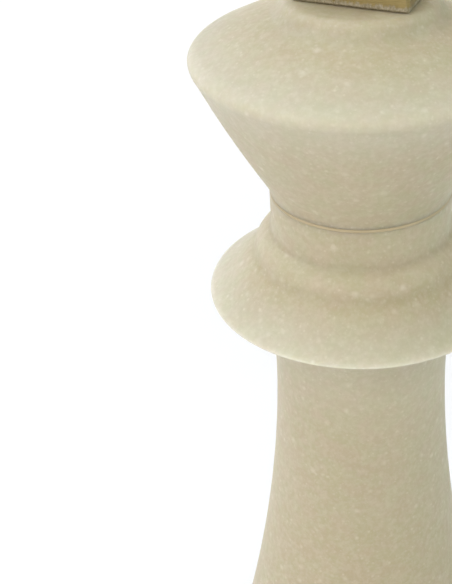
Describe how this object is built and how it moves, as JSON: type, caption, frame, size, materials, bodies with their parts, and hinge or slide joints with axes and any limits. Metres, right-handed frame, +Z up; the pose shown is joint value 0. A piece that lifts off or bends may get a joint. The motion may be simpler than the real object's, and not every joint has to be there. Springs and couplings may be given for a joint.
{
  "type": "giant chess piece",
  "caption": "Giant chess king in turned cream stone: waisted stem, wide collar, cup-shaped head, brass cross that unscrews, rubber-padded round foot.",
  "frame": {"origin": "centre of the round foot at floor level, on the turning axis", "axes": "+Z up along the turning axis; the cross lies along X and its front faces -Y"},
  "size_m": [0.248, 0.248, 0.6337],
  "materials": {
    "cream_stone": "honed, faintly translucent, with white specks",
    "brass": "brushed, slightly aged",
    "zinc_steel": "zinc plated",
    "black_rubber": "matte, lightly pimpled",
    "brown_gasket": "matte",
    "white_nylon": "satin",
    "cover_paint": "satin black powder coat"
  },
  "bodies": {
    "piece": {"plinth": "cream_stone", "base_bell": "cream_stone", "stem": "cream_stone", "collar": "cream_stone", "head": "cream_stone", "plinth_gasket": "brown_gasket", "stem_gasket": "brown_gasket", "collar_gasket": "brown_gasket", "head_gasket": "brown_gasket", "plinth_sleeve": "white_nylon", "stem_sleeve": "white_nylon", "collar_sleeve": "white_nylon", "head_sleeve": "white_nylon", "tie_rod": "zinc_steel", "rod_plate_washer": "zinc_steel", "rod_spring_washer": "zinc_steel", "rod_lower_nut": "zinc_steel", "rod_top_washer": "zinc_steel", "coupling_nut": "zinc_steel", "base_cover": "cover_paint", "cover_screw_1": "zinc_steel", "cover_screw_2": "zinc_steel", "cover_screw_3": "zinc_steel", "cover_screw_4": "zinc_steel", "cover_insert_1": "brass", "cover_insert_2": "brass", "cover_insert_3": "brass", "cover_insert_4": "brass", "base_pad": "black_rubber"},
    "cross_seat": {"seat_washer": "white_nylon"},
    "finial": {"cross": "brass", "cross_stud": "zinc_steel", "stud_lock_pin": "zinc_steel"}
  },
  "joints": [
    {"name": "cross_rise", "type": "slide", "parent": "piece", "child": "cross_seat", "axis": [0, 0, 1], "range_m": [0, 0.0135]},
    {"name": "cross_turn", "type": "hinge", "parent": "cross_seat", "child": "finial", "pos_m": [0, 0, 0.5487], "axis": [0, 0, 1], "range_deg": [0, 3240]}
  ],
  "couplings": [
    {"joint": "cross_rise", "follows": "cross_turn", "m_per_rad": 0.00023873}
  ]
}
